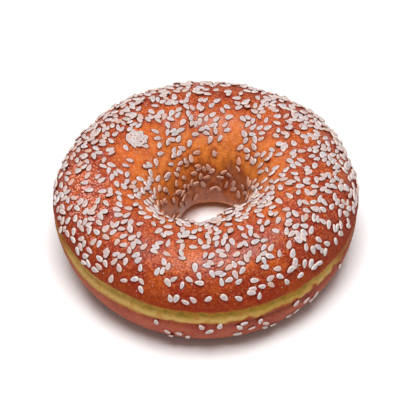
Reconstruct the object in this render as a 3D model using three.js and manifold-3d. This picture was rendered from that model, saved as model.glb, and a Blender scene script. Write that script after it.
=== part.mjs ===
// A ring-shaped bread roll with a baked crust, a pale split round its waist and hulled sesame on top.
// Millimetres, +Z up. The origin is the middle of the footprint, on the surface that the roll lies on.
import * as THREE from "three";
import { ParametricGeometry } from "three/addons/geometries/ParametricGeometry.js";
import { mergeVertices } from "three/addons/utils/BufferGeometryUtils.js";
import Module from "manifold-3d";

// The ring's section, as distances from the hole's axis and heights above the base
const OUTER_RADIUS = 52.5;
const CREST_RADIUS = 33.6;
const HOLE_RADIUS = 14;
const BASE_OUTER_RADIUS = 39.5;
const BASE_INNER_RADIUS = 27.9;
const CREST_HEIGHT = 39.6;
const WAIST_HEIGHT = 21.1;
const THROAT_HEIGHT = 17.9;

// How square each quarter of the section is: 2 is an ellipse, more is fuller
const OUTER_BOTTOM_POWER = 2;
const OUTER_TOP_POWER = 2.25;
const INNER_TOP_POWER = 2.05;
const INNER_BOTTOM_POWER = 3.1;

// Hand-shaped unevenness: cosine and sine amounts of one, two, three ... waves round the ring
const OUTER_WAVES = [[-0.1, 0.83], [-0.35, 0.75], [-0.09, -0.1], [0.39, 0.07]];
const CREST_WAVES = [[0.6, -0.61], [0.98, -0.95]];
const HOLE_WAVES = [[-0.1, -1], [-1.2, 2.6], [0.7, -0.75]];
const WAIST_WAVES = [[-0.6, -0.1], [0.1, 0.25]];
const WAIST_LIFT = { height: 2.6, azimuth: 198, halfWidth: 24 };
const HOLE_CORNER = { out: 2, azimuth: 322, halfWidth: 32 };

// Shallow swellings of the dough: their height, and how many waves lie round and across the ring
const SWELLINGS = [
  { height: 0.24, round: 5, across: 2, phase: 0.7 },
  { height: 0.18, round: 8, across: 3, phase: 2.1 },
  { height: 0.14, round: 13, across: 5, phase: 4.0 },
];

// The pale split: a groove at the waist, deepest on the left
const GROOVE_DEPTH = 0.85;
const GROOVE_FADE = 0.3;
const GROOVE_HALF_HEIGHT = 2.5;

// A fold in the hole's wall: clockwise of its edge the wall steps back, stays back and then comes out again
const FOLD = { depth: 2.4, edge: 70, back: 6, stays: 45, ends: 95, height: 17, halfHeight: 11.5 };

// Sesame: a drop-shaped foot sunk in the crust, rising to a ridge along the seed
const SEED_COUNT = 214;
const SEED_SPACING = 5.6;
const SEED_LENGTH = { least: 4.5, most: 5.1 };
const SEED_WIDTH_SHARE = 0.6;
const SEED_TAPER = 0.3;
const SEED_SUNK = 0.35;
const SEED_STANDS = 0.7;
const SEED_RIDGE_SHARE = 0.45;
const SEED_TILT = 4;
const SEED_THROW_DRAW = 20417;
const SEED_SHAPE_DRAW = 733;
const SEED_MOST_TRIES = 60000;

// Where sesame lies, as stations of the section: on top, thinning into the hole, a little under the split.
// Under the split, one side is bare.
const SESAME_TOP = { from: 1.12, full: 1.3 };
const SESAME_HOLE = { full: 2.55, none: 3.3 };
const SESAME_UNDER = { from: 0.5, to: 0.87, share: 0.06 };
const SESAME_BARE = { azimuth: 205, halfWidth: 42 };

// How finely the solid is cut
const SLICES = 64;
const QUARTER_STEPS = 6;
const GROOVE_STEPS = [-1.05, -0.55, 0.45, 0.85, 1.25];
const SEED_SIDES = 7;

const QUARTERS = 4;
const HALF_PI = Math.PI / 2;
const CRUST_COLOUR = 0xba512c;
const SMALLEST_EDGE = 0.01;

const radians = THREE.MathUtils.degToRad;

function waves(amounts, azimuth) {
  return amounts.reduce((sum, [cosine, sine], index) => {
    const turn = (index + 1) * azimuth;
    return sum + cosine * Math.cos(turn) + sine * Math.sin(turn);
  }, 0);
}

// A smooth hill: 1 in the middle, 0 from the half width on
function hill(distance, halfWidth) {
  const share = Math.min(Math.abs(distance) / halfWidth, 1);
  return (1 - share * share) ** 2;
}

function turnBetween(azimuth, degrees) {
  const turn = azimuth - radians(degrees);
  return THREE.MathUtils.radToDeg(Math.atan2(Math.sin(turn), Math.cos(turn)));
}

function waistHeight(azimuth) {
  const lift = WAIST_LIFT.height * hill(turnBetween(azimuth, WAIST_LIFT.azimuth), WAIST_LIFT.halfWidth);
  return WAIST_HEIGHT + waves(WAIST_WAVES, azimuth) + lift;
}

function holeRadius(azimuth) {
  const corner = HOLE_CORNER.out * hill(turnBetween(azimuth, HOLE_CORNER.azimuth), HOLE_CORNER.halfWidth);
  return HOLE_RADIUS + waves(HOLE_WAVES, azimuth) + corner;
}

// The smooth section at an azimuth. Stations run from 0 at the base's outer edge, over 1 at the waist,
// 2 at the crest and 3 at the hole's throat, to 4 at the base's inner edge.
function section(azimuth, station) {
  const outer = OUTER_RADIUS + waves(OUTER_WAVES, azimuth);
  const crest = CREST_HEIGHT + waves(CREST_WAVES, azimuth);
  const hole = holeRadius(azimuth);
  const waist = waistHeight(azimuth);
  const quarter = Math.min(Math.floor(station), QUARTERS - 1);
  const angle = (station - quarter) * HALF_PI;
  const power = [OUTER_BOTTOM_POWER, OUTER_TOP_POWER, INNER_TOP_POWER, INNER_BOTTOM_POWER][quarter];
  const along = Math.sin(angle) ** (2 / power);
  const left = Math.cos(angle) ** (2 / power);
  if (quarter === 0) {
    return [BASE_OUTER_RADIUS + (outer - BASE_OUTER_RADIUS) * along, waist - waist * left];
  }
  if (quarter === 1) {
    return [CREST_RADIUS + (outer - CREST_RADIUS) * left, waist + (crest - waist) * along];
  }
  if (quarter === 2) {
    return [CREST_RADIUS - (CREST_RADIUS - hole) * along, THROAT_HEIGHT + (crest - THROAT_HEIGHT) * left];
  }
  return [BASE_INNER_RADIUS - (BASE_INNER_RADIUS - hole) * left, THROAT_HEIGHT - THROAT_HEIGHT * along];
}

// How far the split lies below the crust round it
function grooveDepth(azimuth, station, height) {
  if (station > 2) {
    return 0;
  }
  const strength = GROOVE_DEPTH * (1 - GROOVE_FADE * Math.cos(azimuth));
  return strength * hill(height - waistHeight(azimuth), GROOVE_HALF_HEIGHT);
}

// How far the hole's wall steps back behind its even surface
function foldDepth(azimuth, station, height) {
  if (station < 2) {
    return 0;
  }
  const clockwise = -turnBetween(azimuth, FOLD.edge);
  const stepsBack = THREE.MathUtils.smoothstep(clockwise, 0, FOLD.back);
  const comesOut = THREE.MathUtils.smoothstep(clockwise, FOLD.stays, FOLD.ends);
  return FOLD.depth * stepsBack * (1 - comesOut) * hill(height - FOLD.height, FOLD.halfHeight);
}

function swelling(azimuth, station) {
  const fade = Math.sin((Math.PI * station) / QUARTERS);
  const total = SWELLINGS.reduce((sum, { height, round, across, phase }) => {
    return sum + height * Math.sin(round * azimuth + phase) * Math.cos(across * station + phase);
  }, 0);
  return fade * total;
}

// A point of the crust, written into target
function crustPoint(azimuth, station, target) {
  const [evenRadius, evenHeight] = section(azimuth, station);
  const slant = Math.atan2(evenHeight - WAIST_HEIGHT, evenRadius - CREST_RADIUS);
  const swell = swelling(azimuth, station);
  const radius =
    evenRadius +
    swell * Math.cos(slant) -
    grooveDepth(azimuth, station, evenHeight) +
    foldDepth(azimuth, station, evenHeight);
  const height = evenHeight + swell * Math.sin(slant);
  return target.set(radius * Math.cos(azimuth), radius * Math.sin(azimuth), height);
}

// The crust's two directions and its outward normal; the normal's length is the area of one unit patch
function crustFrame(azimuth, station) {
  const step = 1e-3;
  const point = crustPoint(azimuth, station, new THREE.Vector3());
  const round = crustPoint(azimuth + step, station, new THREE.Vector3()).sub(point).divideScalar(step);
  const across = crustPoint(azimuth, station + step, new THREE.Vector3()).sub(point).divideScalar(step);
  const normal = new THREE.Vector3().crossVectors(round, across);
  return { point, round, normal };
}

// The stations where the solid has a row of corners: even steps, and the edges and floor of the split
function rowStations() {
  const even = Array.from({ length: QUARTERS * QUARTER_STEPS + 1 }, (_, row) => row / QUARTER_STEPS);
  const risePerStation = (CREST_HEIGHT / 2) * HALF_PI;
  const groove = GROOVE_STEPS.map((step) => 1 + (step * GROOVE_HALF_HEIGHT) / risePerStation);
  return [...even, ...groove].sort((a, b) => a - b);
}

// The closed ring: the last row of faces joins the base's two edges
function ringGeometry() {
  const stations = rowStations();
  const corner = (u, v, target) => {
    const row = Math.round(v * stations.length) % stations.length;
    const slice = Math.round(u * SLICES) % SLICES;
    crustPoint((slice / SLICES) * 2 * Math.PI, stations[row], target);
  };
  return new ParametricGeometry(corner, SLICES, stations.length);
}

// A repeatable draw of numbers from 0 to 1
function makeDraw(start) {
  let state = start;
  return () => {
    state = (state + 0x6d2b79f5) | 0;
    let mixed = Math.imul(state ^ (state >>> 15), state | 1);
    mixed = (mixed + Math.imul(mixed ^ (mixed >>> 7), mixed | 61)) ^ mixed;
    return ((mixed ^ (mixed >>> 14)) >>> 0) / 2 ** 32;
  };
}

// How much of the sesame a place gets, from 0 to 1
function sesameShare(azimuth, station) {
  const onTop = THREE.MathUtils.smoothstep(station, SESAME_TOP.from, SESAME_TOP.full);
  const outOfHole = 1 - THREE.MathUtils.smoothstep(station, SESAME_HOLE.full, SESAME_HOLE.none);
  const isBare = Math.abs(turnBetween(azimuth, SESAME_BARE.azimuth)) < SESAME_BARE.halfWidth;
  const isUnder = station > SESAME_UNDER.from && station < SESAME_UNDER.to && !isBare;
  return onTop * outOfHole + (isUnder ? SESAME_UNDER.share : 0);
}

// Seeds thrown at the crust one by one, each kept where sesame lies and no other seed is near
function throwSeeds() {
  const drawThrow = makeDraw(SEED_THROW_DRAW);
  const drawSeed = makeDraw(SEED_SHAPE_DRAW);
  const mostArea = OUTER_RADIUS * CREST_HEIGHT;
  const seeds = [];
  for (let tries = 0; tries < SEED_MOST_TRIES && seeds.length < SEED_COUNT; tries += 1) {
    const azimuth = drawThrow() * 2 * Math.PI;
    const station = drawThrow() * QUARTERS;
    const chance = drawThrow();
    const place = crustFrame(azimuth, station);
    const wanted = (sesameShare(azimuth, station) * place.normal.length()) / mostArea;
    const clear = seeds.every((seed) => seed.point.distanceTo(place.point) > SEED_SPACING);
    if (chance < wanted && clear) {
      const length = THREE.MathUtils.lerp(SEED_LENGTH.least, SEED_LENGTH.most, drawSeed());
      const spin = drawSeed() * 2 * Math.PI;
      const tilt = radians(SEED_TILT) * (2 * drawSeed() - 1);
      seeds.push({ ...place, length, spin, tilt });
    }
  }
  return seeds;
}

// A corner of a seed of half length 1: the foot's middle, its drop-shaped rim, then the ridge
function seedCorner(u, v, target) {
  const turn = ((Math.round(u * SEED_SIDES) % SEED_SIDES) / SEED_SIDES) * 2 * Math.PI;
  const towardsTip = Math.cos(turn);
  if (v === 0) {
    return target.set(0, 0, -SEED_SUNK);
  }
  if (v === 1) {
    return target.set(SEED_RIDGE_SHARE * Math.sign(towardsTip), 0, SEED_STANDS);
  }
  return target.set(towardsTip, Math.sin(turn) * (1 - SEED_TAPER * towardsTip), -SEED_SUNK);
}

function seedGeometry({ point, round, normal, length, spin, tilt }) {
  const geometry = new ParametricGeometry(seedCorner, SEED_SIDES, 2);
  geometry.scale(length / 2, (length * SEED_WIDTH_SHARE) / 2, 1);
  geometry.rotateY(tilt);
  geometry.rotateZ(spin);
  const up = normal.clone().normalize();
  const side = round.clone().normalize();
  const forward = new THREE.Vector3().crossVectors(up, side);
  return geometry.applyMatrix4(new THREE.Matrix4().makeBasis(side, forward, up).setPosition(point));
}

const wasm = await Module();
wasm.setup();

function toSolid(geometry) {
  const bare = geometry.clone();
  bare.deleteAttribute("normal");
  bare.deleteAttribute("uv");
  const merged = mergeVertices(bare);
  const corners = new Float32Array(merged.getAttribute("position").array);
  const faces = new Uint32Array(merged.index.array);
  return new wasm.Manifold(new wasm.Mesh({ numProp: 3, vertProperties: corners, triVerts: faces }));
}

function toGeometry(solid) {
  const mesh = solid.getMesh();
  const geometry = new THREE.BufferGeometry();
  geometry.setAttribute("position", new THREE.BufferAttribute(mesh.vertProperties, 3));
  geometry.setIndex(new THREE.BufferAttribute(mesh.triVerts, 1));
  return geometry;
}

function bagelMesh() {
  const ring = toSolid(ringGeometry());
  const seeded = throwSeeds().reduce((solid, seed) => solid.add(toSolid(seedGeometry(seed))), ring);
  const geometry = toGeometry(seeded.simplify(SMALLEST_EDGE));
  geometry.computeBoundingBox();
  const middle = geometry.boundingBox.getCenter(new THREE.Vector3());
  geometry.translate(-middle.x, -middle.y, -geometry.boundingBox.min.z);
  geometry.computeVertexNormals();
  const crust = new THREE.MeshStandardMaterial({ color: CRUST_COLOUR, roughness: 0.35, metalness: 0 });
  const mesh = new THREE.Mesh(geometry, crust);
  mesh.name = "bagel";
  return mesh;
}

const bagel = new THREE.Group();
bagel.add(bagelMesh());

export default bagel;
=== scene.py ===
import math

import bpy
import numpy as np
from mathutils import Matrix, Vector, kdtree, noise


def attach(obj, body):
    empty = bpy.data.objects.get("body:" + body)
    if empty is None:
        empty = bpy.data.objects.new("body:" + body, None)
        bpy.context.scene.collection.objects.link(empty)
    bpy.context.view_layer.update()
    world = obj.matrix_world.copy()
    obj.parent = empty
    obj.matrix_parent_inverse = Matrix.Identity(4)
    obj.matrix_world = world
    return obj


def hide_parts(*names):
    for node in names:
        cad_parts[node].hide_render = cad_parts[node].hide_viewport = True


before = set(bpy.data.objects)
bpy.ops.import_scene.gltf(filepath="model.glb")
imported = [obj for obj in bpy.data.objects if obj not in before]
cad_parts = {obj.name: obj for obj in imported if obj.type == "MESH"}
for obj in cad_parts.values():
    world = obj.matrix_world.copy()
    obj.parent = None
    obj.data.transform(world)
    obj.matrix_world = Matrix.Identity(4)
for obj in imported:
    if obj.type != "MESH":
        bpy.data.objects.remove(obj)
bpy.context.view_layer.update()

# Sizes are in millimetres, as in the part's source, and meshes are in metres. Azimuths in the named values
# are in degrees, and those that functions take are in radians. Stations run round the section: 0 at the
# base's outer edge, 1 at the waist, 2 at the crest, 3 at the hole's throat, 4 at the base's inner edge and
# 5 back at the outer one.
MM = 0.001

# The ring's section, as distances from the hole's axis and heights above the base
OUTER_RADIUS = 52.5
CREST_RADIUS = 33.6
HOLE_RADIUS = 14.0
BASE_OUTER_RADIUS = 39.5
BASE_INNER_RADIUS = 27.9
CREST_HEIGHT = 39.6
WAIST_HEIGHT = 21.1
THROAT_HEIGHT = 17.9
QUARTER_POWERS = (2, 2.25, 2.05, 3.1)
QUARTERS = 4

# Hand-shaped unevenness: cosine and sine amounts of one, two, three ... waves round the ring
OUTER_WAVES = ((-0.1, 0.83), (-0.35, 0.75), (-0.09, -0.1), (0.39, 0.07))
CREST_WAVES = ((0.6, -0.61), (0.98, -0.95))
HOLE_WAVES = ((-0.1, -1), (-1.2, 2.6), (0.7, -0.75))
WAIST_WAVES = ((-0.6, -0.1), (0.1, 0.25))
WAIST_LIFT = {"height": 2.6, "azimuth": 198, "half_width": 24}
HOLE_CORNER = {"out": 2, "azimuth": 322, "half_width": 32}

# Shallow swellings of the dough: height, waves round the ring, waves across it, phase
SWELLINGS = ((0.24, 5, 2, 0.7), (0.18, 8, 3, 2.1), (0.14, 13, 5, 4.0))

# The pale split round the waist, with steeper edges than the solid's. Places across it run from -1 at its
# lower edge to 1 at its upper edge, and a pair of places says where something starts and where it is full.
GROOVE_DEPTH = 0.85
GROOVE_FADE = 0.3
GROOVE_HALF_HEIGHT = 2.5
GROOVE_TOP = (1.0, 0.5)
GROOVE_FOOT = (-1.3, -0.2)
GROOVE_LIP = {"height": 0.22, "place": 1.35, "half_width": 0.7}
OFF_SPLIT = 9.0

# A fold in the hole's wall: clockwise of its edge the wall steps back, stays back and then comes out again
FOLD = {"depth": 2.4, "edge": 70, "back": 6, "stays": 45, "ends": 95, "height": 17, "half_height": 11.5}

# How finely the crust is cut: slices round the ring, and rows between pairs of stations
SLICES = 400
ROW_BANDS = ((0, 0.84, 22), (0.84, 1.2, 50), (1.2, 3.0, 126), (3.0, 4.0, 30), (4.0, 5.0, 8))

# The crust's fine relief: heights and sizes of its wrinkles and how fast they rise from the base, streaks
# at the left with so many to a radian and to a station, and the split's fibres and ragged edge. A value
# under 1 for upwards draws noise out that way.
WRINKLES = ((0.10, 7.0), (0.05, 2.6))
WRINKLE_RISE = 3
STREAKS = {"height": 0.3, "round_it": 5, "across": 26}
FIBRES = {"depth": 0.1, "size": 1.6, "upwards": 0.15}
RAGGED = {"amount": 0.3, "size": 3.4, "upwards": 0.6, "more_where_torn": 1.3}

# Patches of the crust: azimuth, half width, station, half width across
STREAKED = (186, 24, 1.25, 0.3)
# Where the crust's blisters get painted glints
GLINTING_BLISTERS = (197, 30, 1.66, 0.4)

# Where the split's look changes round the ring: azimuth and half width
SPLIT_TORN = (322, 50)
SPLIT_OPENED = (221, 45)
SPLIT_BRIGHT = (322, 18)
SPLIT_DULL = (298, 24)
SPLIT_SUNK = (303, 40)
SPLIT_CREASED = (299, 38)

# Where the split is browned over: azimuth, where that starts and is full to each side of it, share
SPLIT_BROWNED = ((178, 36, 24, 0.75), (352, 30, 17, 0.85))

# The split's coloured parts: how far they reach up and down, how far they sink, the places across it where
# each starts and is full, and how the torn, opened, bright and dull stretches change that
SPLIT_UP = {"even": 0.87, "torn": -0.17}
SPLIT_DOWN = {"even": 1.1, "opened": 0.75, "torn": -0.2}
SPLIT_SINK = 0.25
SPLIT_EDGE_PLACES = (1.5, 0.8)
SPLIT_FLOOR_PLACES = (0.8, 0.2)
SPLIT_FOOT_PLACES = (-0.05, -0.85)
SPLIT_FOOT_OPENED = (0.2, 0.25)
SPLIT_END_PLACES = (-1.25, -0.8)
SPLIT_END_OPENED = (-0.05, 0.4)
SPLIT_DAB = {"place": 0.1, "half_width": 0.75, "less_where_bright": 0.6}
FOOT_DULLED = 0.55
FLOOR_BRIGHTENED = 0.45
# The crease under the split: how deep it sinks, where across the split it lies and how wide, and its share
# of painted shade
CREASE = {"depth": 0.4, "place": -2.15, "half_width": 0.75, "shade_share": 0.6}

# Sesame that the solid has: the same throws as in the part's source
SEED_THROW_DRAW = 20417
SEED_SHAPE_DRAW = 733
SEED_COUNT = 214
SEED_SPACING = 5.6
SEED_MOST_TRIES = 60000
SESAME_TOP = (1.12, 1.3)
SESAME_HOLE = (2.55, 3.3)
SESAME_UNDER = {"from": 0.5, "to": 0.87, "share": 0.06}
SESAME_BARE = {"azimuth": 205, "half_width": 42}

# Sesame that fills in between, in clumps, some of it leaning on other seeds
FILL_COUNT = 960
FILL_MOST_TRIES = 60000
FILL_SHARE = 0.4
FILL_UNDER_SHARE = 0.3
CLUMPS = {"size": 6.5, "start": -0.2, "full": 0.4, "least": 0.4, "more": 1.4}
SEED_GAP = 1.5
LEAST_GAP = 0.85
LEAN_SHARE = 0.4

# Where the fill is thicker or thinner: azimuth, half width, station, half width across, share more or less.
# First the outer slope, then the crest and the hole's rim, the hole's wall, and under the split.
FILL_PATCHES = (
    (135, 50, 1.8, 0.7, 1.3),
    (45, 45, 1.6, 0.5, 2.0),
    (0, 36, 1.5, 0.45, 0.4),
    (312, 36, 1.45, 0.35, -0.35),
    (268, 60, 1.32, 0.3, -0.93),
    (268, 14, 1.66, 0.25, 1.0),
    (246, 16, 1.7, 0.3, -0.85),
    (221, 15, 1.66, 0.3, 1.0),
    (199, 26, 1.72, 0.3, -0.3),
    (88, 28, 1.93, 0.35, -0.5),
    (206, 26, 2.05, 0.35, -0.7),
    (282, 75, 2.36, 0.3, 3.2),
    (167, 45, 2.35, 0.45, -0.95),
    (5, 60, 2.35, 0.5, -0.82),
    (104, 22, 2.38, 0.25, 1.0),
    (74, 38, 2.66, 0.45, -0.98),
    (208, 50, 2.8, 0.4, -0.9),
    (35, 45, 2.85, 0.45, -0.9),
    (308, 24, 0.72, 0.25, 8.0),
    (266, 26, 0.83, 0.1, 12.0),
)

# One dense heap of seeds that lie on each other: its place, its half widths, and how far its middle leans
HEAP = {"azimuth": 153, "station": 2.17, "half_width": 7, "half_across": 0.08, "count": 24, "lean": 1.4}
GOLDEN_ANGLE = math.pi * (3 - math.sqrt(5))

# A seed's size and how it lies: how far it is tipped lengthways and sideways, in degrees, when it is loose
# and when it leans on other seeds, and how far it is lifted
SEED_LENGTH = (2.55, 3.25)
SEED_WIDTH_SHARE = 0.55
SEED_WIDTH_VARIES = (0.9, 1.12)
SEED_TAPER = 0.33
SEED_THICKNESS = 0.9
SEED_TILT = {"loose": 3.5, "leaning": 20}
SEED_ROLL = {"loose": 5, "leaning": 15}
SEED_LIFT = 0.22
LEAN_LIFT = 0.55

# Points along a seed's length that keep other seeds off it, and how near to them the crust gets painted
# shade
SEED_DISCS = (-0.75, 0.1, 0.95)
SEED_SHADE_REACH = (2.1, 1.0)

# The rings of a seed's corners, from its upper middle round its edge to the crust: share of the outline,
# height as a share of the thickness, how far outside the outline, share of glaze and painted shade on it
SEED_SIDES = 12
SEED_RINGS = (
    (0.40, 0.40, 0.0, 0.0),
    (0.72, 0.46, 0.0, 0.0),
    (0.93, 0.30, 0.0, 0.0),
    (1.00, 0.03, 0.0, 0.0),
    (1.00, -0.12, 0.03, 1.0),
    (1.00, -0.30, 0.22, 1.0),
)
SEED_MIDDLE = 0.37
SEED_FOOT = -0.5

# Where a seed's pale rim starts and is full, as shares of the outline, and how far seeds are shaded at most
RIM_SHARES = (0.45, 0.9)
MOST_SHADE = 0.5

# How far seeds are toasted: the middle and spread of it all over, and more between two stations of the wall
SEED_TOAST = (0.08, 0.16)
# On the hole's wall the browner tint is partly toasting and partly painted shade
WALL_TOAST_AND_SHADE = 0.8
WALL_TOAST_AND_SHADE_STATIONS = (2.42, 2.85)

# Broken bits of seed: flat grains with four corners round them, one above and one below, as shares of their
# size along, beside and up
CRUMB_COUNT = 320
CRUMB_SIZE = (0.22, 0.55)
CRUMB_SIDES = 4
CRUMB_CORNERS = ((1, 0, 0), (0, 0.7, 0), (-0.8, 0, 0), (0, -0.6, 0), (0, 0, 0.7), (0, 0, -0.5))
CRUMB_TOAST = 0.35

# The crust's textures: scale, as features in a metre, and detail
BLOTCHES = (100, 3)
MOTTLE = (420, 4)
PORES = (1500, 3)
WALL_FIBRE = (800, 3)
FIBRE_STRETCH = (1, 1, 0.12)

# How the crust's finish changes from one station to another: the two stations and the values there
ON_WALL = (2.35, 2.7, 0.0, 1.0)
OFF_WALL = (2.35, 2.7, 1.0, 0.3)
ON_SLOPE = (1.15, 1.6, 0.3, 1.0)
OFF_LIP = (1.0, 1.6, 0.35, 1.0)
OFF_CREST = (1.85, 2.25, 1.0, 0.3)
CRUST_ROUGHNESS = (1.2, 1.6, 0.75, 0.4)
CRUST_COAT = (1.3, 1.65, 0.0, 0.5)

# Finishes that are the same all over, and the depth of the crust's bumps
CRUST_SPECULAR = 0.1
CRUST_COAT_ROUGHNESS = 0.34
PORE_DEPTH = 0.18
MOTTLE_DEPTH = 0.35
BLOTCH_DEPTH = 0.6
SESAME_ROUGHNESS = 0.55
SESAME_SPECULAR = 0.25
FLOOR_ROUGHNESS = 0.9

# The studio, in metres: softboxes have a name, a place, a side and an energy
FLOOR_HALF_SIDE = 3.0
WORLD_STRENGTH = 0.24
SOFTBOXES = (
    ("softbox_above", (0.0, -0.18, 1.0), 0.5, 11.3),
    ("softbox_behind", (-0.5, 0.55, 0.8), 0.2, 1.0),
)

# Camera, from the photograph's outline: it aims a little to the right of and below the bagel's middle
CAMERA_ELEVATION = 45.5
CAMERA_DISTANCE = 547
CAMERA_AIM = (0.26, -0.88)
LENS = 136.6
SENSOR = 36

SCATTER_DRAW = 41
rng = np.random.default_rng(SCATTER_DRAW)


# Colours

def srgb(red, green, blue):
    """A colour as a screen shows it, from 0 to 255, as the light that a shader works with."""
    shares = np.array([red, green, blue]) / 255
    light = np.where(shares <= 0.04045, shares / 12.92, ((shares + 0.055) / 1.055) ** 2.4)
    return (*light.tolist(), 1.0)


# The crust's colours by station, from the base over the split and the crest, down the hole and back
# Partly baked colour and partly painted light: the inner slopes and the hole's wall are lighter to make up
# for their shade, the wall's lower edge is lighter where it lies in shade, and the lip under the split is
# pinker with a painted reflection of the floor
CRUST_COLOURS_AND_PAINTED_LIGHT = (
    (0.00, srgb(140, 78, 50)),
    (0.35, srgb(154, 84, 58)),
    (0.75, srgb(165, 85, 68)),
    (0.90, srgb(146, 62, 34)),
    (1.10, srgb(138, 46, 11)),
    (1.35, srgb(141, 47, 13)),
    (1.60, srgb(153, 55, 19)),
    (1.95, srgb(163, 67, 27)),
    (2.15, srgb(184, 86, 34)),
    (2.35, srgb(210, 113, 47)),
    (2.65, srgb(228, 134, 56)),
    (2.90, srgb(218, 124, 44)),
    (3.28, srgb(168, 86, 28)),
    (3.55, srgb(226, 136, 76)),
    (4.00, srgb(176, 100, 58)),
    (5.00, srgb(140, 78, 50)),
)
# Painted shade round the seeds, and red blotches in the crust
CRUST_STAIN_AND_SHADE = srgb(140, 28, 18)
CRUST_DARK = srgb(92, 18, 4)
# Painted glints: pinkish-white specks on the crust's top
CRUST_PAINTED_GLINTS = srgb(240, 158, 124)
# Painted glints on the blisters
CRUST_BLISTER_GLINTS = srgb(248, 186, 176)
CRUST_ORANGE = srgb(226, 112, 30)
WALL_BROWN = srgb(126, 62, 26)
# Painted shade in the crease under the split
CREASE_PAINTED_SHADE = srgb(84, 30, 22)
SPLIT_EDGE = srgb(176, 98, 32)
# The split's crumb, darkened with painted shade under its upper lip
SPLIT_OLIVE_WITH_SHADE = srgb(167, 130, 44)
SPLIT_DABS = srgb(120, 96, 27)
# The split's pale crumb, lighter at its foot with painted light where it faces up
SPLIT_PALE_WITH_LIGHT = srgb(202, 165, 96)
SEED_RIM = srgb(231, 216, 207)
SEED_FACE = srgb(182, 177, 184)
SEED_SHADE = srgb(182, 158, 154)
SEED_TOASTED = srgb(206, 148, 116)
# Glaze at each seed's edge, darkened as painted contact shade
SEED_GLAZE_AND_SHADE = srgb(116, 34, 26)
WALL_GLAZE_AND_SHADE = srgb(136, 68, 36)
FLOOR_WHITE = srgb(252, 252, 252)


# The ring's form, as in the part's source but for the split's edges

def waves(amounts, azimuth):
    total = np.zeros_like(azimuth)
    for number, (cosine, sine) in enumerate(amounts, start=1):
        total = total + cosine * np.cos(number * azimuth) + sine * np.sin(number * azimuth)
    return total


def hill(distance, half_width):
    """A smooth hill: 1 in the middle, 0 from the half width on."""
    share = np.minimum(np.abs(distance) / half_width, 1)
    return (1 - share**2) ** 2


def rise(value, start, end):
    """0 before start, 1 after end, smooth between. It falls where start is above end."""
    share = np.clip((value - start) / (end - start), 0, 1)
    return share * share * (3 - 2 * share)


def turn_between(azimuth, degrees):
    """How far an azimuth is past one that is given in degrees, from -180 to 180."""
    turn = azimuth - math.radians(degrees)
    return np.degrees(np.arctan2(np.sin(turn), np.cos(turn)))


def near(azimuth, middle, half_width):
    """1 at an azimuth, 0 from the half width to each side of it on."""
    return hill(turn_between(azimuth, middle), half_width)


def patch(azimuth, station, middle, half_width, across, half_across):
    """1 in the middle of a patch of the crust, 0 from its half widths on."""
    return near(azimuth, middle, half_width) * hill(station - across, half_across)


def off_base(station):
    """0 on the base, 1 half way round the section."""
    return np.sin(math.pi * np.minimum(station, QUARTERS) / QUARTERS)


def waist_height(azimuth):
    lift = near(azimuth, WAIST_LIFT["azimuth"], WAIST_LIFT["half_width"])
    return WAIST_HEIGHT + waves(WAIST_WAVES, azimuth) + WAIST_LIFT["height"] * lift


def hole_radius(azimuth):
    corner = near(azimuth, HOLE_CORNER["azimuth"], HOLE_CORNER["half_width"])
    return HOLE_RADIUS + waves(HOLE_WAVES, azimuth) + HOLE_CORNER["out"] * corner


def section(azimuth, station):
    """Radius and height of the smooth section."""
    outer = OUTER_RADIUS + waves(OUTER_WAVES, azimuth)
    crest = CREST_HEIGHT + waves(CREST_WAVES, azimuth)
    hole = hole_radius(azimuth)
    waist = waist_height(azimuth)
    quarter = np.clip(np.floor(station), 0, QUARTERS - 1).astype(int)
    angle = np.minimum(station - quarter, 1) * math.pi / 2
    power = 2 / np.choose(quarter, QUARTER_POWERS)
    along = np.clip(np.sin(angle), 0, 1) ** power
    left = np.clip(np.cos(angle), 0, 1) ** power
    radii = (
        BASE_OUTER_RADIUS + (outer - BASE_OUTER_RADIUS) * along,
        CREST_RADIUS + (outer - CREST_RADIUS) * left,
        CREST_RADIUS - (CREST_RADIUS - hole) * along,
        BASE_INNER_RADIUS - (BASE_INNER_RADIUS - hole) * left,
    )
    heights = (
        waist - waist * left,
        waist + (crest - waist) * along,
        THROAT_HEIGHT + (crest - THROAT_HEIGHT) * left,
        THROAT_HEIGHT - THROAT_HEIGHT * along,
    )
    base = np.clip(station - QUARTERS, 0, 1) * (BASE_OUTER_RADIUS - BASE_INNER_RADIUS)
    return np.choose(quarter, radii) + base, np.choose(quarter, heights)


def split_place(azimuth, station, height):
    """Where a point lies across the split: 0 at its middle, 1 at its upper edge, -1 at its lower one."""
    place = (height - waist_height(azimuth)) / GROOVE_HALF_HEIGHT
    return np.where(station < 2, place, OFF_SPLIT)


def groove_depth(azimuth, station, height):
    """How deep the split is. Its upper lip stands out a little."""
    place = split_place(azimuth, station, height)
    strength = GROOVE_DEPTH * (1 - GROOVE_FADE * np.cos(azimuth))
    floor = rise(place, *GROOVE_TOP) * rise(place, *GROOVE_FOOT)
    lip = GROOVE_LIP["height"] * hill(place - GROOVE_LIP["place"], GROOVE_LIP["half_width"])
    return strength * floor - lip


def fold_depth(azimuth, station, height):
    clockwise = -turn_between(azimuth, FOLD["edge"])
    set_back = rise(clockwise, 0, FOLD["back"]) * (1 - rise(clockwise, FOLD["stays"], FOLD["ends"]))
    depth = FOLD["depth"] * set_back * hill(height - FOLD["height"], FOLD["half_height"])
    return np.where(station < 2, 0, depth)


def swelling(azimuth, station):
    total = np.zeros_like(azimuth)
    for height, round_it, across, phase in SWELLINGS:
        total = total + height * np.sin(round_it * azimuth + phase) * np.cos(across * station + phase)
    return off_base(station) * total


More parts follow.
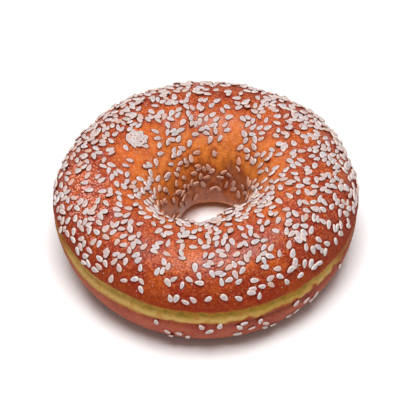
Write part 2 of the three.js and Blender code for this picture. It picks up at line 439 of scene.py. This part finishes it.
def crust_point(azimuth, station):
    """Points of the crust round the hole's axis, in millimetres."""
    azimuth, station = np.broadcast_arrays(np.asarray(azimuth, float), np.asarray(station, float))
    even_radius, even_height = section(azimuth, station)
    slant = np.arctan2(even_height - WAIST_HEIGHT, even_radius - CREST_RADIUS)
    swell = swelling(azimuth, station)
    groove = groove_depth(azimuth, station, even_height)
    radius = even_radius + swell * np.cos(slant) - groove + fold_depth(azimuth, station, even_height)
    height = even_height + swell * np.sin(slant)
    return np.stack([radius * np.cos(azimuth), radius * np.sin(azimuth), height], axis=-1)


def crust_frame(azimuth, station):
    """Points, directions round the ring, and outward normals that are as long as a unit patch is large."""
    step = 1e-3
    point = crust_point(azimuth, station)
    round_it = (crust_point(azimuth + step, station) - point) / step
    across = (crust_point(azimuth, station + step) - point) / step
    return point, round_it, np.cross(round_it, across)


def unit(vectors):
    return vectors / np.linalg.norm(vectors, axis=-1, keepdims=True)


def ring_axis():
    """Where the hole's axis stands in the frame, from the solid's round base."""
    on_base = 1e-5
    corners = np.array([vertex.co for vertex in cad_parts["bagel"].data.vertices])
    foot = corners[corners[:, 2] < on_base]
    middle = (foot.min(axis=0) + foot.max(axis=0)) / 2
    return np.array([middle[0], middle[1], 0.0])


AXIS = ring_axis()


def to_frame(points):
    return points * MM + AXIS


# Meshes and draws

def add_object(name, vertices, faces):
    mesh = bpy.data.meshes.new(name)
    mesh.from_pydata(vertices.tolist(), [], faces.tolist())
    mesh.shade_smooth()
    made = bpy.data.objects.new(name, mesh)
    bpy.context.scene.collection.objects.link(made)
    return made


def set_attribute(piece, name, values):
    attribute = piece.data.attributes.new(name, "FLOAT", "POINT")
    attribute.data.foreach_set("value", np.asarray(values, np.float32).ravel())


def set_colour(piece, name, values):
    attribute = piece.data.attributes.new(name, "FLOAT_COLOR", "POINT")
    attribute.data.foreach_set("color", np.asarray(values, np.float32).ravel())


def noise_at(points, size, octaves):
    """Fractal noise at points, in features of about this size, from about -1 to 1."""
    fall = 1.0
    doubling = 2.0
    return np.array([noise.fractal(Vector(point / size), fall, doubling, octaves) for point in points])


def make_draw(start):
    """A repeatable draw of numbers from 0 to 1, the same one as in the part's source."""
    mask = 0xFFFFFFFF
    state = start

    def draw():
        nonlocal state
        state = (state + 0x6D2B79F5) & mask
        mixed = ((state ^ (state >> 15)) * (state | 1)) & mask
        mixed = (mixed + (((mixed ^ (mixed >> 7)) * (mixed | 61)) & mask)) & mask ^ mixed
        return ((mixed ^ (mixed >> 14)) & mask) / 2**32

    return draw


# The crust

# The crust's colour by station, partly baked colour and partly painted light
def crust_tone_and_painted_light(station):
    stops, colours = zip(*CRUST_COLOURS_AND_PAINTED_LIGHT)
    return np.stack([np.interp(station, stops, channel) for channel in zip(*colours)], axis=-1)


def crust_grid():
    """Azimuths and stations of the crust's corners, row by row from the base's outer edge round to it."""
    rows = [np.linspace(start, end, count, endpoint=False) for start, end, count in ROW_BANDS]
    azimuths = np.arange(SLICES) / SLICES * 2 * math.pi
    return np.meshgrid(azimuths, np.concatenate(rows))


def grid_faces(rows, slices):
    """Four-cornered faces of a grid that closes on itself both ways."""
    row, column = np.meshgrid(np.arange(rows), np.arange(slices), indexing="ij")
    start = row * slices
    above = (row + 1) % rows * slices
    beside = (column + 1) % slices
    corners = (start + column, start + beside, above + beside, above + column)
    return np.stack(corners, axis=-1).reshape(-1, 4)


def browned_over(azimuth):
    """How far the split is browned over, round the ring."""
    total = np.zeros_like(azimuth)
    for middle, start, full, share in SPLIT_BROWNED:
        total = total + share * rise(np.abs(turn_between(azimuth, middle)), start, full)
    return total


def opened_rise(across, places, moved, opened):
    """A rise across the split between two places, each moved where the split is opened."""
    start, full = (place + move * opened for place, move in zip(places, moved))
    return rise(across, start, full)


def split_masks(azimuth, station, height, ragged):
    """How much a place belongs to the split's edge, its olive floor, the dabs on it, its light foot and the
    crease under it."""
    torn = near(azimuth, *SPLIT_TORN)
    opened = near(azimuth, *SPLIT_OPENED)
    bright = np.maximum(opened, near(azimuth, *SPLIT_BRIGHT))
    even = split_place(azimuth, station, height)
    sunk = SPLIT_SINK * near(azimuth, *SPLIT_SUNK)
    place = even + sunk + ragged * (1 + RAGGED["more_where_torn"] * torn)
    reach_up = SPLIT_UP["even"] + SPLIT_UP["torn"] * torn
    reach_down = SPLIT_DOWN["even"] + SPLIT_DOWN["opened"] * opened + SPLIT_DOWN["torn"] * torn
    across = place / np.where(place > 0, reach_up, reach_down)
    shown = opened_rise(across, SPLIT_END_PLACES, SPLIT_END_OPENED, opened) * (1 - browned_over(azimuth))
    floor = rise(across, *SPLIT_FLOOR_PLACES) * shown
    foot = opened_rise(across, SPLIT_FOOT_PLACES, SPLIT_FOOT_OPENED, opened) * shown
    foot = foot * (1 - FOOT_DULLED * near(azimuth, *SPLIT_DULL))
    dabs = hill(across - SPLIT_DAB["place"], SPLIT_DAB["half_width"]) * shown
    return {
        "split": rise(across, *SPLIT_EDGE_PLACES) * shown,
        "floor": floor,
        "dabs": dabs * (1 - SPLIT_DAB["less_where_bright"] * bright),
        "foot": np.maximum(foot, FLOOR_BRIGHTENED * bright * floor),
        "crease": hill(even - CREASE["place"], CREASE["half_width"]) * near(azimuth, *SPLIT_CREASED),
    }


def fine_relief(flat, azimuth, station, masks):
    """How far the crust's corners stand out from its smooth form."""
    wrinkles = sum(depth * noise_at(flat, size, 2) for depth, size in WRINKLES)
    wrinkles = wrinkles * np.clip(WRINKLE_RISE * off_base(station), 0, 1).ravel()
    unrolled = np.stack([azimuth * STREAKS["round_it"], station * STREAKS["across"], azimuth * 0], axis=-1)
    streaks = STREAKS["height"] * noise_at(unrolled.reshape(-1, 3), 1.0, 2)
    streaks = streaks * patch(azimuth, station, *STREAKED).ravel()
    fibres = FIBRES["depth"] * noise_at(flat * (1, 1, FIBRES["upwards"]), FIBRES["size"], 2)
    crease = CREASE["depth"] * masks["crease"].ravel()
    return wrinkles + streaks + fibres * masks["split"].ravel() - crease


def build_crust(discs):
    azimuth, station = crust_grid()
    point, _, normal = crust_frame(azimuth, station)
    height = section(azimuth, station)[1]
    flat = point.reshape(-1, 3)
    ragged = RAGGED["amount"] * noise_at(flat * (1, 1, RAGGED["upwards"]), RAGGED["size"], 3)
    masks = split_masks(azimuth, station, height, ragged.reshape(station.shape))
    relief = fine_relief(flat, azimuth, station, masks)
    vertices = flat + unit(normal.reshape(-1, 3)) * relief[:, None]
    crust = add_object("bagel_crust", to_frame(vertices), grid_faces(*station.shape))
    for name, mask in masks.items():
        set_attribute(crust, name, mask)
    set_attribute(crust, "station", station)
    # Colour by station, with its painted light
    set_colour(crust, "tone", crust_tone_and_painted_light(station))
    # Painted shade near the seeds
    set_attribute(crust, "shade_by_seeds", seed_shade_mask(flat, discs))
    # Where the blisters get painted glints
    set_attribute(crust, "blister_glints", patch(azimuth, station, *GLINTING_BLISTERS))
    return crust


def seed_shade_mask(points, discs):
    """How much painted shade a place gets from the seeds: 1 at a seed's edge and under it, 0 away from it.
    """
    tree = kdtree.KDTree(len(discs))
    for index, disc in enumerate(discs):
        tree.insert(disc, index)
    tree.balance()
    distance = np.array([tree.find(point)[2] for point in points])
    return rise(distance, *SEED_SHADE_REACH)


# Sesame

def throws(start, tries):
    """Azimuths, stations and chances of seeds thrown at the crust."""
    draw = make_draw(start)
    drawn = np.array([draw() for _ in range(3 * tries)]).reshape(-1, 3)
    return drawn[:, 0] * 2 * math.pi, drawn[:, 1] * QUARTERS, drawn[:, 2]


def sesame_share(azimuth, station):
    """How much of the sesame a place gets, from 0 to 1."""
    top = rise(station, *SESAME_TOP) * (1 - rise(station, *SESAME_HOLE))
    is_bare = np.abs(turn_between(azimuth, SESAME_BARE["azimuth"])) < SESAME_BARE["half_width"]
    is_under = (station > SESAME_UNDER["from"]) & (station < SESAME_UNDER["to"]) & ~is_bare
    return top + np.where(is_under, SESAME_UNDER["share"], 0)


def fill_share(azimuth, station):
    """How much of the fill a place gets: in clumps, more or less in patches, and little under the split."""
    share = FILL_SHARE * sesame_share(azimuth, station) * np.where(station < 1, FILL_UNDER_SHARE, 1)
    for *place, more in FILL_PATCHES:
        share = share * (1 + more * patch(azimuth, station, *place))
    clumped = noise_at(crust_point(azimuth, station), CLUMPS["size"], 2)
    return share * (CLUMPS["least"] + CLUMPS["more"] * rise(clumped, CLUMPS["start"], CLUMPS["full"]))


def wanted_throws(azimuth, station, chance, share):
    """Which throws stay on the crust, spread by area."""
    area = np.linalg.norm(crust_frame(azimuth, station)[2], axis=-1)
    return np.flatnonzero(chance < share * area / (OUTER_RADIUS * CREST_HEIGHT))


def solid_seeds():
    """Azimuth, station and spin of the seeds that the solid has."""
    azimuth, station, chance = throws(SEED_THROW_DRAW, SEED_MOST_TRIES)
    point = crust_point(azimuth, station)
    kept = []
    for index in wanted_throws(azimuth, station, chance, sesame_share(azimuth, station)):
        gaps = np.linalg.norm(point[kept] - point[index], axis=-1)
        if len(kept) < SEED_COUNT and (gaps > SEED_SPACING).all():
            kept.append(index)
    draw = make_draw(SEED_SHAPE_DRAW)
    spins = np.array([draw() for _ in range(3 * SEED_COUNT)]).reshape(-1, 3)[:, 1] * 2 * math.pi
    return azimuth[kept], station[kept], spins


def heap_seeds():
    """Azimuth, station and spin of the seeds in the dense heap, and how far each leans on others."""
    order = np.arange(HEAP["count"])
    turn = order * GOLDEN_ANGLE
    reach = np.sqrt((order + 0.5) / HEAP["count"])
    spin = rng.uniform(0, 2 * math.pi, HEAP["count"])
    azimuth = np.radians(HEAP["azimuth"] + HEAP["half_width"] * reach * np.cos(turn))
    station = HEAP["station"] + HEAP["half_across"] * reach * np.sin(turn)
    return (azimuth, station, spin), HEAP["lean"] * (1 - reach**2)


def seed_axes(azimuth, station, spin):
    """Point, long, wide and up directions of seeds that lie on the crust."""
    point, round_it, normal = crust_frame(azimuth, station)
    up = unit(normal)
    side = unit(round_it)
    forward = np.cross(up, side)
    long = side * np.cos(spin)[:, None] + forward * np.sin(spin)[:, None]
    return point, long, np.cross(up, long), up


def seed_discs(azimuth, station, spin):
    """Points along each seed, which keep other seeds off it."""
    point, long, _, _ = seed_axes(azimuth, station, spin)
    return np.stack([point + along * long for along in SEED_DISCS], axis=1)


def fill_seeds(solid):
    """The solid's seeds, the heap's and those that fill in between: their places, how far each leans on
    others, and the points that they cover."""
    azimuth, station, chance = throws(SEED_THROW_DRAW + 1, FILL_MOST_TRIES)
    spin = rng.uniform(0, 2 * math.pi, FILL_MOST_TRIES)
    refusal = rng.uniform(0, 1, FILL_MOST_TRIES)
    discs = seed_discs(azimuth, station, spin)
    heap, heap_lean = heap_seeds()
    placed = [np.concatenate(pair) for pair in zip(solid, heap)]
    lean = [0.0] * SEED_COUNT + heap_lean.tolist()
    taken = np.full((len(lean) + FILL_COUNT, len(SEED_DISCS), 3), np.inf)
    taken[: len(lean)] = seed_discs(*placed)
    kept = []
    for index in wanted_throws(azimuth, station, chance, fill_share(azimuth, station)):
        gap = np.linalg.norm(taken.reshape(-1, 1, 3) - discs[index], axis=-1).min()
        leans = rise(gap, SEED_GAP, LEAST_GAP)
        if gap < LEAST_GAP or refusal[index] < leans * (1 - LEAN_SHARE) or len(kept) == FILL_COUNT:
            continue
        taken[len(lean)] = discs[index]
        kept.append(index)
        lean.append(leans)
    thrown = (azimuth, station, spin)
    places = [np.concatenate([before, after[kept]]) for before, after in zip(placed, thrown)]
    return places, np.array(lean), taken[: len(lean)].reshape(-1, 3)


def seed_template():
    """Corners of a seed of half length and half width 1 and thickness 1, how far outside its outline they
    lie, and their shares of the rim and of the glaze with its painted shade."""
    turn = np.arange(SEED_SIDES) / SEED_SIDES * 2 * math.pi
    outline = np.stack([np.cos(turn), np.sin(turn) * (1 - SEED_TAPER * np.cos(turn))], axis=-1)
    corners = [(0, 0, SEED_MIDDLE)]
    outside = [(0, 0)]
    shares = [(0, 0)]
    for share, height, out, glaze_and_shade in SEED_RINGS:
        corners.extend((share * x, share * y, height) for x, y in outline)
        outside.extend((out * math.cos(angle), out * math.sin(angle)) for angle in turn)
        shares.extend([(share, glaze_and_shade)] * SEED_SIDES)
    corners.append((0, 0, SEED_FOOT))
    outside.append((0, 0))
    shares.append((0, 1))
    return np.array(corners), np.array(outside), np.array(shares)


def seed_faces():
    """Triangles of one seed: a fan, strips between the rings, and a fan."""
    foot = 1 + len(SEED_RINGS) * SEED_SIDES
    faces = []
    for side in range(SEED_SIDES):
        beside = (side + 1) % SEED_SIDES
        faces.append((0, 1 + side, 1 + beside))
        for ring in range(len(SEED_RINGS) - 1):
            inner = 1 + ring * SEED_SIDES
            outer = inner + SEED_SIDES
            faces.append((inner + side, outer + side, outer + beside))
            faces.append((inner + side, outer + beside, inner + beside))
        last = foot - SEED_SIDES
        faces.append((last + side, foot, last + beside))
    return np.array(faces)


def tip_angles(lean, tip):
    """How far seeds are tipped, in degrees: a little by themselves, and more where they lean on others."""
    count = len(lean)
    return rng.normal(0, tip["loose"], count) + lean * rng.uniform(-tip["leaning"], tip["leaning"], count)


def tipped(along, up, degrees):
    """Directions along and up, turned so that along points upwards by these angles."""
    turn = np.radians(degrees)[:, None]
    return along * np.cos(turn) + up * np.sin(turn), up * np.cos(turn) - along * np.sin(turn)


def seed_corners(places, lean):
    """Corners of all seeds, a row of them for each seed."""
    point, long, wide, up = seed_axes(*places)
    tilt = tip_angles(lean, SEED_TILT)
    roll = tip_angles(lean, SEED_ROLL)
    long, up = tipped(long, up, tilt)
    wide, up = tipped(wide, up, roll)
    length = rng.uniform(*SEED_LENGTH, len(lean))
    width = length * SEED_WIDTH_SHARE * rng.uniform(*SEED_WIDTH_VARIES, len(lean))
    middle = point + up * (SEED_LIFT + LEAN_LIFT * lean)[:, None]
    corners, outside, _ = seed_template()
    along = corners[:, 0] * length[:, None] / 2 + outside[:, 0]
    beside = corners[:, 1] * width[:, None] / 2 + outside[:, 1]
    over = corners[:, 2] * SEED_THICKNESS
    return (
        middle[:, None]
        + along[..., None] * long[:, None]
        + beside[..., None] * wide[:, None]
        + over[None, :, None] * up[:, None]
    )


def crumb_corners():
    """Corners and faces of the broken bits of seed."""
    azimuth, station, chance = throws(SEED_THROW_DRAW + 2, FILL_MOST_TRIES)
    kept = wanted_throws(azimuth, station, chance, sesame_share(azimuth, station))[:CRUMB_COUNT]
    spin = rng.uniform(0, 2 * math.pi, len(kept))
    point, long, wide, up = seed_axes(azimuth[kept], station[kept], spin)
    size = rng.uniform(*CRUMB_SIZE, len(kept))[:, None]
    ends = [size * (along * long + beside * wide + over * up) for along, beside, over in CRUMB_CORNERS]
    corners = np.stack([point + end for end in ends], axis=1)
    above = CRUMB_SIDES
    below = CRUMB_SIDES + 1
    edges = [(side, (side + 1) % CRUMB_SIDES) for side in range(CRUMB_SIDES)]
    upper = [(start, end, above) for start, end in edges]
    lower = [(end, start, below) for start, end in edges]
    grain = np.array(upper + lower)
    faces = grain[None] + len(CRUMB_CORNERS) * np.arange(len(kept))[:, None, None]
    return corners.reshape(-1, 3), faces.reshape(-1, 3)


def build_sesame(places, lean):
    count = len(lean)
    seeds = seed_corners(places, lean)
    # Seeds on the hole's wall get a browner tint: partly toasting, partly painted shade
    on_wall = rise(places[1], *WALL_TOAST_AND_SHADE_STATIONS)
    toast_and_shade = np.clip(rng.normal(*SEED_TOAST, count) + WALL_TOAST_AND_SHADE * on_wall, 0, 1)
    crumbs, crumb_faces = crumb_corners()
    tone = rng.uniform(0, 1, count)
    shares = seed_template()[2]
    each = len(shares)
    faces = seed_faces()[None] + each * np.arange(count)[:, None, None]
    sesame = add_object(
        "bagel_sesame",
        to_frame(np.concatenate([seeds.reshape(-1, 3), crumbs])),
        np.concatenate([faces.reshape(-1, 3), crumb_faces + count * each]),
    )
    on_seeds_and_crumbs = {
        "rim": (np.tile(shares[:, 0], count), 0.0),
        "glaze_and_shade": (np.tile(shares[:, 1], count), 0.0),
        "tone": (np.repeat(tone, each), 0.0),
        "toast_and_shade": (np.repeat(toast_and_shade, each), CRUMB_TOAST),
    }
    for name, (on_seeds, on_crumbs) in on_seeds_and_crumbs.items():
        set_attribute(sesame, name, np.append(on_seeds, np.full(len(crumbs), on_crumbs)))
    return sesame


# Materials

def put(tree, socket, value):
    if isinstance(value, bpy.types.NodeSocket):
        tree.links.new(value, socket)
    else:
        socket.default_value = value


def attribute(tree, name, output="Fac"):
    node = tree.nodes.new("ShaderNodeAttribute")
    node.attribute_name = name
    return node.outputs[output]


def noise_texture(tree, scale, detail, stretch=(1, 1, 1)):
    place = tree.nodes.new("ShaderNodeTexCoord")
    mapping = tree.nodes.new("ShaderNodeMapping")
    mapping.inputs["Scale"].default_value = stretch
    node = tree.nodes.new("ShaderNodeTexNoise")
    node.inputs["Scale"].default_value = scale
    node.inputs["Detail"].default_value = detail
    tree.links.new(place.outputs["Object"], mapping.inputs["Vector"])
    tree.links.new(mapping.outputs["Vector"], node.inputs["Vector"])
    return node.outputs["Fac"]


def spread(tree, value, start, end, to_start=0.0, to_end=1.0):
    """value from start to end, moved to run from to_start to to_end and held there."""
    node = tree.nodes.new("ShaderNodeMapRange")
    put(tree, node.inputs["Value"], value)
    amounts = {"From Min": start, "From Max": end, "To Min": to_start, "To Max": to_end}
    for socket, amount in amounts.items():
        node.inputs[socket].default_value = amount
    return node.outputs["Result"]


def times(tree, first, second):
    node = tree.nodes.new("ShaderNodeMath")
    node.operation = "MULTIPLY"
    put(tree, node.inputs[0], first)
    put(tree, node.inputs[1], second)
    return node.outputs["Value"]


def mix(tree, share, first, second):
    """first where share is 0, second where it is 1. The colour sockets are inputs 6 and 7 and output 2."""
    node = tree.nodes.new("ShaderNodeMix")
    node.data_type = "RGBA"
    put(tree, node.inputs["Factor"], share)
    put(tree, node.inputs[6], first)
    put(tree, node.inputs[7], second)
    return node.outputs[2]


def bump(tree, height, depth, under=None):
    node = tree.nodes.new("ShaderNodeBump")
    node.inputs["Distance"].default_value = depth * MM
    put(tree, node.inputs["Height"], height)
    if under:
        tree.links.new(under, node.inputs["Normal"])
    return node.outputs["Normal"]


def new_material(name):
    material = bpy.data.materials.new(name)
    material.use_nodes = True
    return material, material.node_tree, material.node_tree.nodes["Principled BSDF"]


def paint(tree, colour, layers):
    """Paints layers over a colour. Each has a mask, a texture that breaks it up, the texture's values where
    the layer starts and is full, its shares there, and its own colour."""
    for mask, texture, start, full, least, most, layer in layers:
        share = times(tree, mask, spread(tree, texture, start, full, least, most))
        colour = mix(tree, share, colour, layer)
    return colour


def baked_colour(tree, station, blotches, mottle, pores):
    """The crust's colour all over, without the split, with painted shade near the seeds and painted glints.
    """
    fibre = noise_texture(tree, *WALL_FIBRE, FIBRE_STRETCH)
    on_wall = spread(tree, station, *ON_WALL)
    off_wall = spread(tree, station, *OFF_WALL)
    on_top = times(tree, spread(tree, station, *ON_SLOPE), off_wall)
    dark = times(tree, spread(tree, station, *OFF_LIP), spread(tree, station, *OFF_CREST))
    layers = (
        # Painted shade near the seeds, broken up by the mottle
        (attribute(tree, "shade_by_seeds"), mottle, 0.35, 0.65, 0.2, 0.7, CRUST_STAIN_AND_SHADE),
        (on_top, blotches, 0.5, 0.7, 0.0, 0.45, CRUST_ORANGE),
        (off_wall, blotches, 0.5, 0.32, 0.0, 0.4, CRUST_STAIN_AND_SHADE),
        (on_top, mottle, 0.52, 0.68, 0.0, 0.45, CRUST_ORANGE),
        (dark, pores, 0.48, 0.34, 0.0, 0.62, CRUST_DARK),
        (on_wall, fibre, 0.47, 0.66, 0.0, 0.5, WALL_BROWN),
        # Painted glints on the top
        (on_top, pores, 0.52, 0.68, 0.0, 0.4, CRUST_PAINTED_GLINTS),
        # Painted glints on the blisters
        (attribute(tree, "blister_glints"), pores, 0.54, 0.62, 0.0, 0.9, CRUST_BLISTER_GLINTS),
    )
    return paint(tree, attribute(tree, "tone", "Color"), layers)


def split_colour(tree, colour, mottle):
    """The crease's painted shade and the split, with its painted shade and light, over the crust's colour.
    """
    floor = attribute(tree, "floor")
    # Painted shade in the crease
    crease_shade = times(tree, attribute(tree, "crease"), CREASE["shade_share"])
    colour = mix(tree, crease_shade, colour, CREASE_PAINTED_SHADE)
    colour = mix(tree, attribute(tree, "split"), colour, SPLIT_EDGE)
    # The split's floor, darkened with painted shade under its upper lip
    colour = mix(tree, floor, colour, SPLIT_OLIVE_WITH_SHADE)
    # Its foot, lighter with painted light where it faces up
    colour = mix(tree, attribute(tree, "foot"), colour, SPLIT_PALE_WITH_LIGHT)
    layers = (
        (attribute(tree, "dabs"), mottle, 0.47, 0.6, 0.0, 0.75, SPLIT_DABS),
        (floor, mottle, 0.46, 0.36, 0.0, 0.45, SPLIT_EDGE),
    )
    return paint(tree, colour, layers)


def crust_material():
    material, tree, shader = new_material("baked_crust")
    shader.inputs["Specular IOR Level"].default_value = CRUST_SPECULAR
    shader.inputs["Coat Roughness"].default_value = CRUST_COAT_ROUGHNESS
    blotches = noise_texture(tree, *BLOTCHES)
    mottle = noise_texture(tree, *MOTTLE)
    pores = noise_texture(tree, *PORES)
    station = attribute(tree, "station")
    colour = split_colour(tree, baked_colour(tree, station, blotches, mottle, pores), mottle)
    crackle = bump(tree, pores, PORE_DEPTH)
    grain = bump(tree, mottle, MOTTLE_DEPTH, crackle)
    uneven = bump(tree, blotches, BLOTCH_DEPTH, grain)
    tree.links.new(colour, shader.inputs["Base Color"])
    tree.links.new(spread(tree, station, *CRUST_ROUGHNESS), shader.inputs["Roughness"])
    tree.links.new(spread(tree, station, *CRUST_COAT), shader.inputs["Coat Weight"])
    tree.links.new(uneven, shader.inputs["Normal"])
    tree.links.new(uneven, shader.inputs["Coat Normal"])
    return material


def sesame_material():
    material, tree, shader = new_material("hulled_sesame")
    shader.inputs["Roughness"].default_value = SESAME_ROUGHNESS
    shader.inputs["Specular IOR Level"].default_value = SESAME_SPECULAR
    toast_and_shade = attribute(tree, "toast_and_shade")
    rim = spread(tree, attribute(tree, "rim"), *RIM_SHARES)
    colour = mix(tree, rim, SEED_FACE, SEED_RIM)
    colour = mix(tree, times(tree, attribute(tree, "tone"), MOST_SHADE), colour, SEED_SHADE)
    # Toasting, and on the hole's wall painted shade
    colour = mix(tree, toast_and_shade, colour, SEED_TOASTED)
    # Glaze and painted contact shade at each seed's edge
    colour = mix(tree, attribute(tree, "glaze_and_shade"), colour, mix(tree, toast_and_shade, SEED_GLAZE_AND_SHADE, WALL_GLAZE_AND_SHADE))
    tree.links.new(colour, shader.inputs["Base Color"])
    return material


# The studio

def build_floor():
    corners = FLOOR_HALF_SIDE * np.array([(-1, -1, 0), (1, -1, 0), (1, 1, 0), (-1, 1, 0)])
    floor = add_object("floor", corners, np.array([(0, 1, 2, 3)]))
    material, _, shader = new_material("floor_white")
    shader.inputs["Roughness"].default_value = FLOOR_ROUGHNESS
    shader.inputs["Base Color"].default_value = FLOOR_WHITE
    floor.data.materials.append(material)


def look_at(piece, place, target):
    piece.location = place
    piece.rotation_euler = (Vector(target) - Vector(place)).to_track_quat("-Z", "Y").to_euler()


def add_softbox(name, place, side, energy):
    light = bpy.data.lights.new(name, "AREA")
    light.size = side
    light.energy = energy
    softbox = bpy.data.objects.new(name, light)
    bpy.context.scene.collection.objects.link(softbox)
    look_at(softbox, place, (0, 0, CREST_HEIGHT / 2 * MM))


def add_lights():
    world = bpy.data.worlds.new("studio")
    world.use_nodes = True
    background = world.node_tree.nodes["Background"]
    background.inputs["Color"].default_value = (1, 1, 1, 1)
    background.inputs["Strength"].default_value = WORLD_STRENGTH
    bpy.context.scene.world = world
    for softbox in SOFTBOXES:
        add_softbox(*softbox)


def add_camera():
    elevation = math.radians(CAMERA_ELEVATION)
    middle = np.array([0, 0, CREST_HEIGHT / 2])
    back = np.array([0, -math.cos(elevation), math.sin(elevation)])
    up = np.array([0, math.sin(elevation), math.cos(elevation)])
    aim = middle + CAMERA_AIM[0] * np.array([1, 0, 0]) + CAMERA_AIM[1] * up
    data = bpy.data.cameras.new("camera")
    data.lens = LENS
    data.sensor_width = SENSOR
    camera = bpy.data.objects.new("camera", data)
    bpy.context.scene.collection.objects.link(camera)
    look_at(camera, to_frame(middle + CAMERA_DISTANCE * back), to_frame(aim))
    bpy.context.scene.camera = camera


def finish_piece(piece, material):
    piece.data.materials.append(material)
    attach(piece, "root")
    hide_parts("bagel")


places, lean, discs = fill_seeds(solid_seeds())
finish_piece(build_crust(discs), crust_material())
finish_piece(build_sesame(places, lean), sesame_material())
build_floor()
add_lights()
add_camera()
bpy.context.scene.view_settings.view_transform = "Standard"
